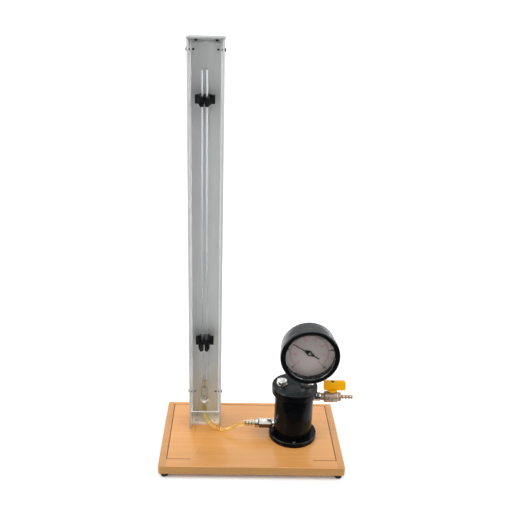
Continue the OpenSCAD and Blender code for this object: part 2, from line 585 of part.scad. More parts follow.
hz = [105.5, 122.8];     // bottom and top of the handle's grip
module valve_handle() on_board() color([0.9, 0.66, 0.05]) difference() {
  union() {
    translate([vx, 0, 0]) front(ry - 5, 10) {
      translate([-16.5, hz[0]]) {
        translate([2, 0]) square([16.5 + handle_l - 5.5, hz[1] - hz[0]]);
        translate([0, 2]) square([16.5 + handle_l - 3.5, hz[1] - hz[0] - 4]);
        for (p = [[2, 2], [2, hz[1] - hz[0] - 2]]) translate(p) circle(2);
        polygon([[30, 0], [16.5 + handle_l - 1.2, 0], [16.5 + handle_l, 1.2], [16.5 + handle_l, hz[1] - hz[0] - 2.2], [16.5 + handle_l - 2, hz[1] - hz[0]], [30, hz[1] - hz[0]]]);
      }
    }
    // round skirt over the packing nut
    translate([vx, ry, 0]) rotate_extrude() polygon([[0, 100.4], [6.6, 100.4], [11, hz[0] - 0.2], [11, hz[0] + 0.6], [0, hz[0] + 0.6]]);
  }
  // hollow over the packing nut, stem hole with a square drive, screw recess
  translate([vx, ry, 99]) cylinder(h = 4.8, r = 5.3);
  translate([vx, ry, 98]) cylinder(h = 12.5, r = 2.6);
  translate([vx - 1.75, ry - 1.75, 108]) cube([3.5, 3.5, 11]);
  translate([vx, ry, 119]) cylinder(h = 10, r = 3.8);
}

module handle_screw() on_board() color([0.05, 0.05, 0.05]) translate([vx, ry, 119]) difference() {
  union() {
    cylinder(h = 3.2, r = 3.6);
    translate([0, 0, -6]) cylinder(h = 6.1, r = 1, $fn = 32);
  }
  translate([0, 0, 2.2]) cross_slot(1, 4.6);
}

module pump_barb() on_board() color([0.74, 0.66, 0.48]) translate([0, ry, valve_z]) difference() {
  union() {
    bar_x(163, 6.6, 8.3);
    intersection() {
      hex_x(169, 5, 17, 0);
      turned_x([[168.9, 0], [168.9, 9.9], [172.8, 9.9], [174, 8.7], [174, 0]]);
    }
    turned_x([[173.9, 0], [173.9, 3.2], [176, 3.2], [176.6, 4.3], [178.8, 4.3], [181.8, 3.2], [182.6, 3.2], [183.2, 4.3], [184.8, 4.3],
      [188, 3.2], [189.2, 3.2], [189.8, 4.3], [191.2, 4.3], [194, 3.4], [194.8, 4.2], [196, 4.2], [barb_tip, 3], [barb_tip, 0]]);
  }
  bar_x(160, 50, 2.3);
  bar_x(162, 4, 3.7);
}

base_board();
rubber_feet();
foot_screws();
column_channel();
column_foot_plate();
column_screws();
plate_screws();
top_cap();
cap_screws();
cap_nuts();
front_cover();
cover_screws();
cover_nuts();
upper_clip();
lower_clip();
clip_screws();
glass_tube();
tube_sleeve();
hose_tie();
hose();
hose_barb();
hose_fitting_hex();
hose_fitting_washer();
reservoir_flange();
flange_screws();
reservoir_body();
cap_gasket();
reservoir_cap();
filler_plug();
filler_seal();
gauge_socket();
gauge_seal();
gauge_case();
gauge_bezel();
gauge_lens();
gauge_dial();
gauge_pointer();
pointer_arbor();
movement_plates();
sector_gear();
movement_link();
bourdon_tube();
bourdon_tip();
valve_nipple();
valve_body();
valve_seats();
valve_ball();
valve_stem();
packing_nut();
valve_handle();
handle_screw();
pump_barb();
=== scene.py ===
# Boyle's law apparatus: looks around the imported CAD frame
import bpy
import bmesh
import json
import math
from mathutils import Vector, Matrix


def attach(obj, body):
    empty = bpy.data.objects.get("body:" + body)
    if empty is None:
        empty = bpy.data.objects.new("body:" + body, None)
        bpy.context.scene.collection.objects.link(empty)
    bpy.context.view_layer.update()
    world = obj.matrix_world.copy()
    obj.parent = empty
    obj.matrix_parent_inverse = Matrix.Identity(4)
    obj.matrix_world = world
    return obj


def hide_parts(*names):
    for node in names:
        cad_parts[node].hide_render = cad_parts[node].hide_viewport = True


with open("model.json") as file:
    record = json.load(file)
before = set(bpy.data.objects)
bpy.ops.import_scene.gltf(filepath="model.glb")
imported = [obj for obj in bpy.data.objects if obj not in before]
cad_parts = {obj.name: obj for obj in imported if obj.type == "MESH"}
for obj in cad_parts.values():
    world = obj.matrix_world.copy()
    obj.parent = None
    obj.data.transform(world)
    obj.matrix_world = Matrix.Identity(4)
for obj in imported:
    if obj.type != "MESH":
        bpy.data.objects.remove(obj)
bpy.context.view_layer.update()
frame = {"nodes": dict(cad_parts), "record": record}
NODES = frame["nodes"]
BODY = {n: b for b, ns in frame["record"]["behaviour"]["bodies"].items() for n in ns}
scene = bpy.context.scene
link = scene.collection.objects.link


def P(x, y, z):
    """board coordinates in mm (x from the board's middle, y from its front, z from its top) to the frame"""
    return Vector(((x - 11.6) / 1000, (y - 107.0) / 1000, (z + 28.0) / 1000))


# ------------------------------------------------------------------ camera
def look(yaw, pitch, roll):
    cy, sy = math.cos(yaw), math.sin(yaw)
    fwd, right, up = Vector((sy, cy, 0)), Vector((cy, -sy, 0)), Vector((0, 0, 1))
    cp, sp = math.cos(pitch), math.sin(pitch)
    f2, u2 = fwd * cp - up * sp, up * cp + fwd * sp
    cr, sr = math.cos(roll), math.sin(roll)
    return right * cr + u2 * sr, u2 * cr - right * sr, f2


cam_data = bpy.data.cameras.new("camera")
cam = bpy.data.objects.new("camera", cam_data)
link(cam)
r3, u3, f3 = look(math.radians(1.103), math.radians(21.028), math.radians(1.415))
cam.matrix_world = Matrix(((r3.x, u3.x, -f3.x, -0.05331), (r3.y, u3.y, -f3.y, -1.12656), (r3.z, u3.z, -f3.z, 0.84063), (0, 0, 0, 1)))
cam_data.sensor_width = 36
cam_data.lens = 46.948
cam_data.shift_x = 0.0211
cam_data.shift_y = 0.0009
cam_data.clip_end = 3000
scene.camera = cam
scene.view_settings.view_transform = "Standard"
scene.view_settings.look = "None"


# ------------------------------------------------------------------ materials
class Mat:
    """a Principled material with procedural variation in colour, roughness and relief"""

    def __init__(self, name, base, rough=0.4, metallic=0.0, **kw):
        self.m = bpy.data.materials.new(name)
        self.m.use_nodes = True
        self.nt = self.m.node_tree
        self.b = self.nt.nodes["Principled BSDF"]
        self.out = self.nt.nodes["Material Output"]
        self.b.inputs["Base Color"].default_value = (*base, 1)
        self.b.inputs["Roughness"].default_value = rough
        self.b.inputs["Metallic"].default_value = metallic
        for k, v in kw.items():
            self.b.inputs[k.replace("_", " ")].default_value = v
        self.base, self.rough = base, rough
        self.tc = self.node("ShaderNodeTexCoord")

    def node(self, kind, **vals):
        n = self.nt.nodes.new(kind)
        for k, v in vals.items():
            setattr(n, k, v)
        return n

    def join(self, a, b):
        self.nt.links.new(a, b)

    def coords(self, scale=(1, 1, 1), rot=(0, 0, 0)):
        mp = self.node("ShaderNodeMapping")
        mp.inputs["Scale"].default_value = scale
        mp.inputs["Rotation"].default_value = rot
        self.join(self.tc.outputs["Object"], mp.inputs["Vector"])
        return mp.outputs["Vector"]

    def noise(self, scale, detail=4, rough=0.55, stretch=(1, 1, 1), dist=0.0, rot=(0, 0, 0)):
        n = self.node("ShaderNodeTexNoise")
        n.inputs["Scale"].default_value = scale
        n.inputs["Detail"].default_value = detail
        n.inputs["Roughness"].default_value = rough
        n.inputs["Distortion"].default_value = dist
        self.join(self.coords(stretch, rot), n.inputs["Vector"])
        return n.outputs["Fac"]

    def ramp(self, fac, stops):
        r = self.node("ShaderNodeValToRGB")
        el = r.color_ramp.elements
        while len(el) < len(stops):
            el.new(0.5)
        for e, (p, c) in zip(el, stops):
            e.position = p
            e.color = (*c, 1)
        self.join(fac, r.inputs["Fac"])
        return r.outputs["Color"]

    def remap(self, fac, lo, hi, a=0.3, b=0.7):
        m = self.node("ShaderNodeMapRange")
        m.inputs["From Min"].default_value = a
        m.inputs["From Max"].default_value = b
        m.inputs["To Min"].default_value = lo
        m.inputs["To Max"].default_value = hi
        self.join(fac, m.inputs["Value"])
        return m.outputs["Result"]

    def vary(self, amount=0.06, scale=60, **kw):
        """light and dark patches of the base colour"""
        lo = tuple(max(0, c * (1 - amount)) for c in self.base)
        hi = tuple(min(1, c * (1 + amount)) for c in self.base)
        self.join(self.ramp(self.noise(scale, **kw), [(0.3, lo), (0.7, hi)]), self.b.inputs["Base Color"])
        return self

    def uneven(self, spread=0.05, scale=150, **kw):
        """roughness that drifts over the surface"""
        lo, hi = max(0.0, self.rough - spread), min(1, self.rough + spread)
        self.join(self.remap(self.noise(scale, **kw), lo, hi), self.b.inputs["Roughness"])
        return self

    def relief(self, scale=900, strength=0.2, distance=0.00005, **kw):
        bp = self.node("ShaderNodeBump")
        bp.inputs["Strength"].default_value = strength
        bp.inputs["Distance"].default_value = distance
        self.join(self.noise(scale, **kw), bp.inputs["Height"])
        self.join(bp.outputs["Normal"], self.b.inputs["Normal"])
        return self

    def lets_light_through(self, tint=(1, 1, 1)):
        """lamps reach what is behind the clear piece"""
        lp = self.node("ShaderNodeLightPath")
        tr = self.node("ShaderNodeBsdfTransparent")
        tr.inputs["Color"].default_value = (*tint, 1)
        mx = self.node("ShaderNodeMixShader")
        self.join(lp.outputs["Is Shadow Ray"], mx.inputs["Fac"])
        self.join(self.b.outputs["BSDF"], mx.inputs[1])
        self.join(tr.outputs["BSDF"], mx.inputs[2])
        self.join(mx.outputs["Shader"], self.out.inputs["Surface"])
        return self


def wood(name, base, dark, seed_rot, coat=0.4, strip=1.0, front=1.0):
    m = Mat(name, base, rough=0.34, Coat_Weight=coat, Coat_Roughness=0.12)
    g1 = m.noise(9, detail=6, rough=0.6, stretch=(0.35, 9, 9), dist=0.6, rot=seed_rot)
    g2 = m.noise(70, detail=3, stretch=(0.12, 6, 6), rot=seed_rot)
    c1 = m.ramp(g1, [(0.34, tuple(c * 0.94 for c in base)), (0.5, base), (0.68, tuple(min(1, c * 1.05) for c in base))])
    c2 = m.ramp(g2, [(0.38, dark), (0.6, (1, 1, 1))])
    mx = m.node("ShaderNodeMix", data_type="RGBA", blend_type="MULTIPLY")
    mx.inputs["Factor"].default_value = 0.16
    m.join(c1, mx.inputs["A"])
    m.join(c2, mx.inputs["B"])
    # painted shade: the lipping outside the groove on the left and right is darkened, standing in for the light falling
    # off towards the sides
    sep = m.node("ShaderNodeSeparateXYZ")
    m.join(m.tc.outputs["Object"], sep.inputs[0])
    off = m.node("ShaderNodeMath", operation="ADD")
    off.inputs[1].default_value = 0.0116
    m.join(sep.outputs["X"], off.inputs[0])
    far = m.node("ShaderNodeMath", operation="ABSOLUTE")
    m.join(off.outputs[0], far.inputs[0])
    m2 = m.node("ShaderNodeMix", data_type="RGBA", blend_type="MULTIPLY")
    m.join(m.remap(far.outputs[0], 0.0, 1.0, 0.1600, 0.1611), m2.inputs["Factor"])
    m.join(mx.outputs["Result"], m2.inputs["A"])
    m2.inputs["B"].default_value = (strip, strip, strip * 1.03, 1)
    # painted shade: the top is darkened along its front edge
    m3 = m.node("ShaderNodeMix", data_type="RGBA", blend_type="MULTIPLY")
    m.join(m.remap(sep.outputs["Y"], 1.0, 0.0, -0.095, -0.03), m3.inputs["Factor"])
    m.join(m2.outputs["Result"], m3.inputs["A"])
    m3.inputs["B"].default_value = (front, front, front, 1)
    m.join(m3.outputs["Result"], m.b.inputs["Base Color"])
    m.uneven(0.05, 40, stretch=(0.5, 4, 4))
    m.relief(260, 0.12, 0.00006, stretch=(0.15, 5, 5))
    return m.m


def column_metal(name, base, board_bounce_tint, rough, metallic, left_shade=1.0):
    """satin metal with faint lengthwise drawing marks; its colour is tinted warm towards the board as a painted
    reflection of the wood, and darkened towards the left as painted shade
    """
    m = Mat(name, base, rough, metallic)
    sep = m.node("ShaderNodeSeparateXYZ")
    m.join(m.tc.outputs["Object"], sep.inputs[0])
    low = m.remap(sep.outputs["Z"], 1.0, 0.0, 0.035, 0.16)
    streak = m.noise(14, stretch=(1, 1, 0.12))
    c1 = m.ramp(streak, [(0.3, tuple(c * 0.965 for c in base)), (0.7, tuple(min(1, c * 1.03) for c in base))])
    mx = m.node("ShaderNodeMix", data_type="RGBA", blend_type="MULTIPLY")
    m.join(low, mx.inputs["Factor"])
    m.join(c1, mx.inputs["A"])
    mx.inputs["B"].default_value = (*board_bounce_tint, 1)
    m2 = m.node("ShaderNodeMix", data_type="RGBA", blend_type="MULTIPLY")
    m.join(m.remap(sep.outputs["X"], 1.0, 0.0, -0.128, -0.088), m2.inputs["Factor"])
    m.join(mx.outputs["Result"], m2.inputs["A"])
    m2.inputs["B"].default_value = (left_shade, left_shade, left_shade, 1)
    m.join(m2.outputs["Result"], m.b.inputs["Base Color"])
    m.uneven(0.025, 220, stretch=(6, 6, 0.06))
    m.relief(700, 0.02, 0.00003, stretch=(6, 6, 0.05))
    return m.m


M = {}
# painted shade: the top's wood is darkened on its side lipping (strip) and along its front (front)
M["wood_top"] = wood("wood_top", (0.635, 0.292, 0.082), (0.66, 0.5, 0.36), (0, 0, 0), strip=0.83, front=0.84)
# painted shade: the board's edge faces get a darker copy of the wood, standing in for the shade on its vertical faces
M["wood_edge_shaded"] = wood("wood_edge_shaded", (0.37, 0.172, 0.026), (0.6, 0.45, 0.3), (0.02, 0, 0.01), coat=0.12)
M["groove"] = Mat("groove_stain", (0.15, 0.062, 0.022), 0.6).vary(0.25, 120).relief(900, 0.3).m
M["rubber"] = Mat("foot_rubber", (0.010, 0.010, 0.010), 0.72, Specular_IOR_Level=0.25).vary(0.3, 300).uneven(0.08, 200).relief(1500, 0.35, 0.00008).m
M["zinc"] = Mat("zinc_screw", (0.66, 0.66, 0.67), 0.28, 1.0).vary(0.08, 300).uneven(0.07, 400).relief(2500, 0.1, 0.00002).m
M["black_screw"] = Mat("black_oxide", (0.015, 0.015, 0.017), 0.3, Specular_IOR_Level=0.35).vary(0.3, 300).uneven(0.08, 400).m
# painted reflection and shade: every copy of the column metal is tinted warm near the board, standing in for light
# thrown up from the wood; the inside copy is tinted strongly and darkened on its left
M["column_out"] = column_metal("column_metal", (0.535, 0.54, 0.53), (0.95, 0.90, 0.82), 0.36, 0.3)
M["column_in"] = column_metal("column_metal_inside", (0.60, 0.605, 0.597), (1.5, 1.37, 1.17), 0.5, 0.12, left_shade=0.84)
# painted light: a much brighter copy of the column metal for the inner side walls, standing in for the light they
# reflect
M["column_side"] = column_metal("column_metal_painted_lit", (0.82, 0.83, 0.835), (0.95, 0.90, 0.82), 0.3, 0.35)
M["cap_metal"] = Mat("cap_metal", (0.355, 0.358, 0.35), 0.38, 0.3).vary(0.04, 20, stretch=(0.1, 1, 1)).uneven(0.05, 220, stretch=(0.1, 6, 6)).m
M["acrylic"] = Mat("clear_acrylic", (0.99, 0.993, 0.99), 0.0, Transmission_Weight=1.0, IOR=1.12).vary(0.006, 30).lets_light_through((0.96, 0.965, 0.96)).m
M["acrylic_edge"] = Mat("clear_acrylic_edge", (0.97, 0.972, 0.965), 0.5, Transmission_Weight=0.12, IOR=1.35).vary(0.03, 40).uneven(0.06, 120, stretch=(1, 1, 0.2)).lets_light_through((0.96, 0.96, 0.95)).m
# painted highlights: a white and a pale blue copy of the glass for two bright lines on the tube, standing in for its
# refraction highlights; they fade downwards
for nm, col in (("highlight_line_white", (1.0, 1.0, 1.0)), ("highlight_line_blue", (0.87, 0.94, 1.0))):
    m = Mat(nm, col, 0.25, Transmission_Weight=0.1, IOR=1.27).vary(0.02, 40, stretch=(1, 1, 0.1))
    sep = m.node("ShaderNodeSeparateXYZ")
    m.join(m.tc.outputs["Object"], sep.inputs[0])
    m.join(m.remap(sep.outputs["Z"], 0.96, 0.25, 0.30, 0.64), m.b.inputs["Transmission Weight"])
    M[nm] = m.m
M["glass"] = Mat("tube_glass", (0.985, 0.99, 0.993), 0.0, Transmission_Weight=1.0, IOR=1.27).vary(0.004, 60).lets_light_through((0.96, 0.965, 0.965)).m
M["lens"] = Mat("gauge_lens", (0.99, 0.99, 0.99), 0.0, Transmission_Weight=1.0, IOR=1.16).vary(0.005, 60).lets_light_through((0.97, 0.97, 0.97)).m
M["clip"] = Mat("clip_black", (0.003, 0.0035, 0.004), 0.2, Specular_IOR_Level=0.07).vary(0.25, 200).uneven(0.06, 250).relief(1200, 0.1, 0.00004).m
M["sleeve"] = Mat("sleeve_clear", (0.95, 0.92, 0.74), 0.14, Transmission_Weight=0.85, IOR=1.35).vary(0.05, 90).uneven(0.05, 200).lets_light_through((0.94, 0.92, 0.78)).m
M["tie"] = Mat("tie_nylon", (0.80, 0.78, 0.72), 0.4, Subsurface_Weight=0.15, Subsurface_Scale=0.002).vary(0.04, 200).uneven(0.06, 300).m
M["hose"] = Mat("hose_pvc", (0.98, 0.94, 0.78), 0.05, Transmission_Weight=1.0, IOR=1.42).vary(0.04, 60).uneven(0.03, 120).relief(300, 0.06, 0.00006).lets_light_through((0.96, 0.90, 0.72)).m
M["oil"] = Mat("oil", (0.95, 0.80, 0.42), 0.03, Transmission_Weight=0.95, IOR=1.36).vary(0.05, 60).lets_light_through((0.96, 0.86, 0.58)).m
M["nickel"] = Mat("nickel", (0.78, 0.765, 0.73), 0.15, 1.0).vary(0.05, 160).uneven(0.03, 320).relief(1800, 0.03, 0.00002).m
M["nickel_fit"] = Mat("nickel_fitting", (0.52, 0.49, 0.44), 0.16, 1.0).vary(0.06, 160).uneven(0.04, 320).m
# painted shade and painted reflection: a dark brownish copy of the nickel for facets that face away from the top,
# standing in for shade and the wood reflected in them
M["nickel_painted_shade"] = Mat("nickel_painted_shade", (0.13, 0.085, 0.05), 0.2, 0.9).vary(0.12, 160).uneven(0.05, 320).m
M["zinc_dull"] = Mat("zinc_dull", (0.05, 0.048, 0.046), 0.4, 0.5).vary(0.1, 300).uneven(0.06, 400).m
M["nut"] = Mat("nut_steel", (0.5, 0.5, 0.49), 0.4, 0.2).vary(0.1, 300).uneven(0.06, 400).m
M["black_metal"] = Mat("black_anodised", (0.0022, 0.0025, 0.0030), 0.22, Specular_IOR_Level=0.08).vary(0.25, 60).uneven(0.06, 140, stretch=(1, 1, 5)).relief(1600, 0.06, 0.00003).m
# painted sheen: a lighter copy of the black anodising for the cap's top face, standing in for a reflection on it
M["black_top"] = Mat("black_anodised_painted_sheen", (0.014, 0.017, 0.018), 0.3, Specular_IOR_Level=0.08).vary(0.25, 25).uneven(0.05, 140).m
M["black_rim"] = Mat("black_anodised_edge", (0.004, 0.0045, 0.005), 0.16, Specular_IOR_Level=0.35).vary(0.25, 60).uneven(0.05, 140).m
M["gasket"] = Mat("gasket_rubber", (0.006, 0.006, 0.006), 0.7, Specular_IOR_Level=0.2).vary(0.3, 300).relief(1500, 0.3).m
M["fibre"] = Mat("fibre_washer", (0.36, 0.19, 0.09), 0.75).vary(0.2, 700).relief(2500, 0.3).m
M["gauge_black"] = Mat("gauge_enamel", (0.0022, 0.0025, 0.0027), 0.08, Specular_IOR_Level=0.6).vary(0.3, 60).uneven(0.03, 90).relief(500, 0.04, 0.00004).m
M["case_black"] = Mat("case_enamel", (0.005, 0.0055, 0.006), 0.26, Specular_IOR_Level=0.45).vary(0.3, 60).uneven(0.06, 120).relief(700, 0.08, 0.00005).m
dm = Mat("dial_face", (0.385, 0.345, 0.325), 0.5, Specular_IOR_Level=0.3).uneven(0.05, 200)
sep = dm.node("ShaderNodeSeparateXYZ")
dm.join(dm.tc.outputs["Object"], sep.inputs[0])
zc = P(0, 0, 190.6).z
# painted shade: the dial is darkened towards its top, standing in for the shadow of the deep bezel
mx = dm.node("ShaderNodeMix", data_type="RGBA", blend_type="MULTIPLY")
dm.join(dm.remap(sep.outputs["Z"], 0.0, 1.0, zc - 0.02, zc + 0.045), mx.inputs["Factor"])
dm.join(dm.ramp(dm.noise(30), [(0.3, (0.315, 0.270, 0.252)), (0.7, (0.338, 0.290, 0.270))]), mx.inputs["A"])
mx.inputs["B"].default_value = (0.66, 0.67, 0.68, 1)
dm.join(mx.outputs["Result"], dm.b.inputs["Base Color"])
M["dial"] = dm.m
M["ink"] = Mat("dial_ink", (0.006, 0.006, 0.008), 0.5, Specular_IOR_Level=0.2).vary(0.2, 300).m
M["ink_red"] = Mat("dial_ink_red", (0.34, 0.03, 0.035), 0.5, Specular_IOR_Level=0.2).vary(0.12, 300).m
M["pointer"] = Mat("pointer_black", (0.003, 0.003, 0.003), 0.35, Specular_IOR_Level=0.06).vary(0.2, 300).uneven(0.06, 400).m
M["hub"] = Mat("hub_silver", (0.085, 0.08, 0.072), 0.26, 0.4).vary(0.05, 300).uneven(0.06, 400).m
M["brass"] = Mat("brass", (0.70, 0.50, 0.22), 0.24, 1.0).vary(0.08, 160).uneven(0.07, 320).m
M["valve_brass"] = Mat("valve_plate", (0.36, 0.27, 0.19), 0.28, 0.45).vary(0.22, 90, detail=5).uneven(0.09, 260).relief(900, 0.12, 0.00004).m
M["ptfe"] = Mat("ptfe", (0.88, 0.88, 0.86), 0.4).vary(0.03, 200).m
M["handle"] = Mat("handle_yellow", (0.71, 0.315, 0.001), 0.3, Specular_IOR_Level=0.06).vary(0.05, 90).uneven(0.06, 260).relief(1100, 0.1, 0.00005).m
M["scale_ink"] = Mat("scale_ink", (0.20, 0.19, 0.18), 0.5).vary(0.1, 300).m


# ------------------------------------------------------------------ mesh helpers
def finish_mesh(me, sharp):
    me.shade_smooth()
    me.set_sharp_from_angle(angle=math.radians(sharp))


def piece(name, verts, faces, mats, body="stand", slot=None, sharp=32, replaces=(), index=None):
    me = bpy.data.meshes.new(name)
    me.from_pydata([tuple(v) for v in verts], [], faces)
    bm = bmesh.new()
    bm.from_mesh(me)
    bmesh.ops.recalc_face_normals(bm, faces=bm.faces)
    bm.to_mesh(me)
    bm.free()
    for m in mats:
        me.materials.append(m)
    if index is not None:
        for poly, i in zip(me.polygons, index):
            poly.material_index = i
    finish_mesh(me, sharp)
    ob = bpy.data.objects.new(name, me)
    link(ob)
    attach(ob, body)
    if replaces:
        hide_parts(*replaces)
    return ob


def fillet(prof, n=4):
    """rounds the corners of a closed profile; a point's third number is its radius"""
    out, N = [], len(prof)
    for i, p in enumerate(prof):
        b = Vector(p[:2])
        rad = p[2] if len(p) > 2 else 0
        u, v = Vector(prof[i - 1][:2]) - b, Vector(prof[(i + 1) % N][:2]) - b
        if rad <= 0 or u.length < 1e-6 or v.length < 1e-6:
            out.append(tuple(b))
            continue
        lu, lv = u.length, v.length
        u.normalize()
        v.normalize()
        ang = u.angle(v)
        if ang > 3.1 or ang < 0.05:
            out.append(tuple(b))
            continue
        t = min(rad / math.tan(ang / 2), lu * 0.48, lv * 0.48)
        rr = t * math.tan(ang / 2)
        c = b + (u + v).normalized() * (rr / math.sin(ang / 2))
        p0, p1 = b + u * t - c, b + v * t - c
        a0 = math.atan2(p0.y, p0.x)
        d = (math.atan2(p1.y, p1.x) - a0 + math.pi) % (2 * math.pi) - math.pi
        for k in range(n + 1):
            a = a0 + d * k / n
            out.append((c.x + rr * math.cos(a), c.y + rr * math.sin(a)))
    return out


def lathe(name, prof, origin, axis, mats, seg=96, n=4, pick=None, **kw):
    """turns a closed profile of (radius, along, fillet) in mm round an axis through origin"""
    pr = fillet(prof, n)
    verts, rings = [], []
    for r, h in pr:
        if abs(r) < 1e-6:
            rings.append([len(verts)])
            pts = [(0.0, 0.0)]
        else:
            rings.append(list(range(len(verts), len(verts) + seg)))
            pts = [(r * math.cos(2 * math.pi * k / seg), r * math.sin(2 * math.pi * k / seg)) for k in range(seg)]
        for a, b in pts:
            if axis == "z":
                verts.append(P(origin[0] + a, origin[1] + b, origin[2] + h))
            elif axis == "y":
                verts.append(P(origin[0] + a, origin[1] + h, origin[2] + b))
            else:
                verts.append(P(origin[0] + h, origin[1] + a, origin[2] + b))
    faces, index = [], []
    for i in range(len(rings)):
        A, B = rings[i], rings[(i + 1) % len(rings)]
        if len(A) == 1 and len(B) == 1:
            continue
        for k in range(seg):
            k2 = (k + 1) % seg
            if len(A) == 1:
                faces.append((A[0], B[k], B[k2]))
            elif len(B) == 1:
                faces.append((A[k], A[k2], B[0]))
            else:
                faces.append((A[k], A[k2], B[k2], B[k]))
            index.append(pick(pr[i], pr[(i + 1) % len(pr)]) if pick else 0)
    return piece(name, verts, faces, mats, index=index, **kw)


def refine(node, mats, width=0.3, seg=2, angle=28, sharp=34, pick=None, second=None, name=None):
    """a copy of a CAD node with its edges broken, which stands for the node"""
    bm = bmesh.new()
    bm.from_mesh(NODES[node].data)
    bmesh.ops.remove_doubles(bm, verts=bm.verts, dist=3e-6)
    bmesh.ops.dissolve_limit(bm, angle_limit=math.radians(0.4), verts=bm.verts[:], edges=bm.edges[:], use_dissolve_boundaries=False)
    passes = [(width, None)] if second is None else [(second[0], second[1]), (width, None)]
    done = set()
    for w, test in passes:
        if w <= 0:
            continue
        edges = [e for e in bm.edges if len(e.link_faces) == 2 and e.calc_face_angle(0) > math.radians(angle) and (test is None or test(e))]
        if second is not None and test is None:
            edges = [e for e in edges if not second[1](e)]
        if edges:
            bmesh.ops.bevel(bm, geom=edges, offset=w / 1000, offset_type="OFFSET", segments=seg, profile=0.5, affect="EDGES", clamp_overlap=True)
    bmesh.ops.recalc_face_normals(bm, faces=bm.faces)
    me = bpy.data.meshes.new(name or node + "_finish")
    bm.to_mesh(me)
    bm.free()
    for m in mats:
        me.materials.append(m)
    for poly in me.polygons:
        poly.material_index = pick(poly) if pick else 0
    finish_mesh(me, sharp)
    ob = bpy.data.objects.new(name or node + "_finish", me)
    link(ob)
    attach(ob, BODY[node])
    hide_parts(node)
    return ob


def dress(node, mat):
    """a CAD node that stays as it is, with a better material"""
    ob = NODES[node]
    if not ob.material_slots:
        ob.data.materials.append(mat)
    for s in ob.material_slots:
        s.material = mat


def box_faces(o):
    return [(o, o + 1, o + 2, o + 3), (o + 7, o + 6, o + 5, o + 4), (o, o + 4, o + 5, o + 1), (o + 1, o + 5, o + 6, o + 2), (o + 2, o + 6, o + 7, o + 3), (o + 3, o + 7, o + 4, o)]


# ------------------------------------------------------------------ hose
HOSE = [(-95, 145, 70), (-95, 145, 62), (-95, 145, 54), (-95.5, 144.6, 45.6), (-95.7, 141.8, 35.6), (-94.5, 136, 25.5), (-90, 129, 16.5),
        (-83, 122, 10), (-74.5, 116, 6.5), (-65.5, 111.5, 5.5), (-57, 108.5, 6), (-48, 106, 8.5), (-39.5, 105, 13), (-32, 104, 19),
        (-23, 104.5, 23), (-14, 105, 25), (-7, 105, 25), (0, 105, 25), (7, 105, 25), (14, 105, 25)]


def bspline(pts, steps):
    pts = [Vector(p) for p in pts]
    out = []
    for i in range(len(pts) - 3):
        for s in range(steps + (1 if i == len(pts) - 4 else 0)):
            t = s / steps
            w = ((1 - t) ** 3 / 6, (3 * t ** 3 - 6 * t * t + 4) / 6, (-3 * t ** 3 + 3 * t * t + 3 * t + 1) / 6, t ** 3 / 6)
            out.append(sum((pts[i + k] * w[k] for k in range(4)), Vector((0, 0, 0))))
    return out


def sweep(line, radii, seg=32):
    """rings along a line in board mm, one list of rings per radius function"""
    rings = []
    tan = [(line[min(i + 1, len(line) - 1)] - line[max(i - 1, 0)]).normalized() for i in range(len(line))]
    n = tan[0].orthogonal().normalized()
    for i, p in enumerate(line):
        n = (n - tan[i] * n.dot(tan[i])).normalized()
        b = tan[i].cross(n)
        rings.append([[p + (n * math.cos(2 * math.pi * k / seg) + b * math.sin(2 * math.pi * k / seg)) * rf(p) for k in range(seg)] for rf in radii])
    return rings


def hose_outer(p):
    return 5.0 + (1.4 * min(1, (p.x + 14) / 8) ** 0.8 if p.x > -14 else 0)


def hose_inner(p):
    return 3.3 + (1.4 * min(1, (p.x + 15) / 4) if p.x > -15 else 0)


line = bspline(HOSE, 6)
SEG = 32
rings = sweep(line, (hose_outer, hose_inner), SEG)
verts, faces = [], []
for outer, inner in rings:
    verts += [P(*v) for v in outer] + [P(*v) for v in inner]
for i in range(len(rings) - 1):
    a, b = i * 2 * SEG, (i + 1) * 2 * SEG
    for k in range(SEG):
        k2 = (k + 1) % SEG
        faces.append((a + k, a + k2, b + k2, b + k))
        faces.append((a + SEG + k2, a + SEG + k, b + SEG + k, b + SEG + k2))
for a in (0, (len(rings) - 1) * 2 * SEG):
    for k in range(SEG):
        k2 = (k + 1) % SEG
        faces.append((a + k, a + SEG + k, a + SEG + k2, a + k2))
hose = piece("hose_wall", verts, faces, [M["hose"]], slot="hose_clear", replaces=("hose",), sharp=50)

oil_line = [p for p in line if p.x < -14.5]
orings = sweep(oil_line, (lambda p: 3.34,), 24)
verts = [P(*v) for (r,) in orings for v in r]
faces = [(i * 24 + k, i * 24 + (k + 1) % 24, (i + 1) * 24 + (k + 1) % 24, (i + 1) * 24 + k) for i in range(len(orings) - 1) for k in range(24)]
faces += [tuple(range(24)), tuple((len(orings) - 1) * 24 + k for k in range(24))]
piece("hose_oil", verts, faces, [M["oil"]], slot="hose_clear", sharp=50)

# ------------------------------------------------------------------ base
TOP = 0.028


def board_pick(poly):
    c, n = poly.center, poly.normal
    if n.z > 0.7 and c.z > TOP - 0.0004:
        return 0
    if c.z > TOP - 0.0015 and abs(c.x + 0.0116) < 0.1735 and abs(c.y) < 0.1055:
        return 2 if c.z < TOP - 0.00004 else 0
    return 1 if abs(n.z) < 0.7 else 0


def outline_edge(e):
    c = (e.verts[0].co + e.verts[1].co) / 2
    return abs(c.x + 0.0116) > 0.1705 or abs(c.y) > 0.1035


refine("base_board", [M["wood_top"], M["wood_edge_shaded"], M["groove"]], width=0.12, seg=1, angle=30, pick=board_pick, second=(1.1, outline_edge))
dress("rubber_feet", M["rubber"])
for n in ("foot_screws", "column_screws", "cap_nuts"):
    dress(n, M["zinc"])
dress("cover_nuts", M["nut"])
dress("flange_screws", M["zinc_dull"])
for n in ("plate_screws", "cap_screws", "cover_screws", "clip_screws", "handle_screw"):
    dress(n, M["black_screw"])

